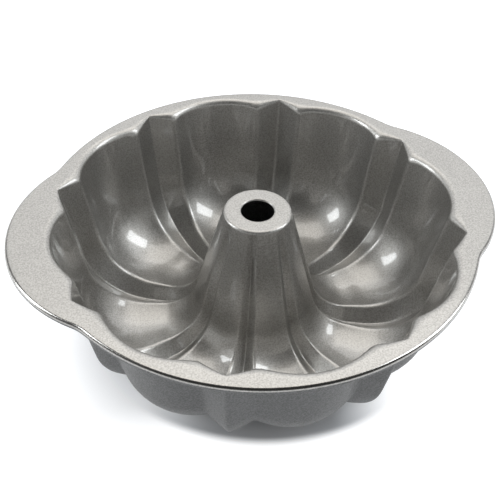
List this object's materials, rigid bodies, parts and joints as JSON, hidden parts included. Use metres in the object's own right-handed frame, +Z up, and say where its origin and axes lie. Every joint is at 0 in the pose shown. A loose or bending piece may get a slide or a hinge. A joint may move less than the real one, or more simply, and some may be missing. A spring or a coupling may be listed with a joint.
{
  "type": "fluted tube pan",
  "caption": "Fluted ring-cake pan of coated sheet steel: round lobes between pointed ridges, a tapered open centre tube, a flat rim with a rolled edge and two rounded ears.",
  "frame": {"origin": "on the table, under the middle of the pan", "axes": "+Z up along the centre tube, +X along the two ears"},
  "size_m": [0.2874, 0.256, 0.0889],
  "materials": {
    "coated_sheet": "aluminised steel sheet with a glossy clear baking coat and a fine grain",
    "bare_wire": "bare drawn steel wire"
  },
  "bodies": {
    "root": {"fluted_bowl": "coated_sheet", "centre_tube": "coated_sheet", "rim_wire": "bare_wire"}
  },
  "joints": []
}
